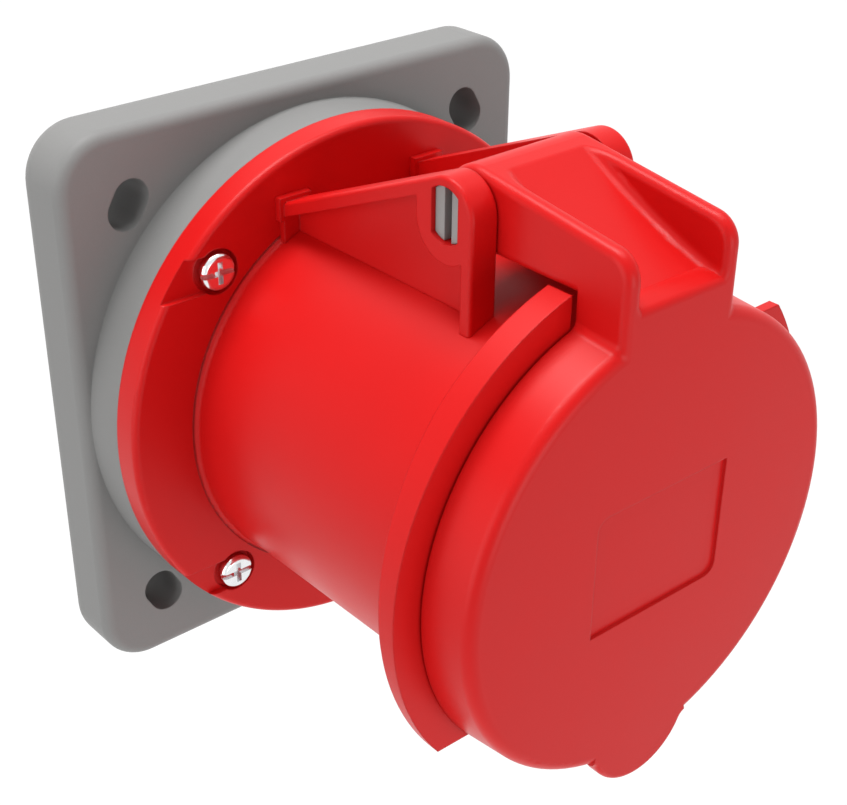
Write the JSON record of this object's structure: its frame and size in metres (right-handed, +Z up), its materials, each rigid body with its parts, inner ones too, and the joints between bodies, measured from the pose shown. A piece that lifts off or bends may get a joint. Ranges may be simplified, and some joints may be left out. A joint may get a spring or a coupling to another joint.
{
  "type": "industrial panel socket",
  "caption": "Panel socket with a square mounting plate, a round housing with bayonet ramps and hinge ears, and a spring-closed round lid with a lift tab.",
  "frame": {"origin": "centre of the mounting plate's back face, on the socket's axis", "axes": "+Z up, -Y along the socket's axis out of the wall, +X to the right of a viewer who faces the lid"},
  "size_m": [0.117, 0.1178, 0.1264],
  "materials": {
    "red_plastic": "moulded, satin",
    "grey_plastic": "moulded, satin",
    "pin_plastic": "moulded, satin",
    "insert_plastic": "moulded, satin",
    "block_plastic": "moulded, satin",
    "contact_brass": "turned",
    "screw_steel": "bright plated",
    "clip_steel": "spring steel",
    "gasket_rubber": "soft"
  },
  "bodies": {
    "housing": {"mounting_flange": "grey_plastic", "panel_gasket": "gasket_rubber", "housing_gasket": "gasket_rubber", "housing_flange": "red_plastic", "socket_barrel": "red_plastic", "hinge_ears": "red_plastic", "bayonet_ramps": "red_plastic", "flange_screws": "screw_steel", "contact_carrier": "insert_plastic", "carrier_flange": "insert_plastic", "contact_face": "insert_plastic", "insert_pillars": "insert_plastic", "contact_l1": "contact_brass", "contact_l2": "contact_brass", "contact_l3": "contact_brass", "contact_neutral": "contact_brass", "contact_earth": "contact_brass", "pilot_contact": "contact_brass", "phase_sleeve_springs": "clip_steel", "earth_sleeve_spring": "clip_steel", "pilot_sleeve_spring": "clip_steel", "terminal_block": "block_plastic", "terminal_screws": "screw_steel", "pilot_terminal_screw": "screw_steel", "insert_screws": "screw_steel", "carrier_screws": "screw_steel", "hinge_pin": "pin_plastic"},
    "lid": {"lid": "red_plastic", "lid_gasket": "gasket_rubber", "hinge_spring": "clip_steel"}
  },
  "joints": [
    {"name": "lid_hinge", "type": "hinge", "parent": "housing", "child": "lid", "pos_m": [0, -0.0806, 0.058], "axis": [-1, 0, 0], "range_deg": [0, 110], "stiffness_Nm_per_rad": 0.05, "springref_deg": -80.21}
  ]
}
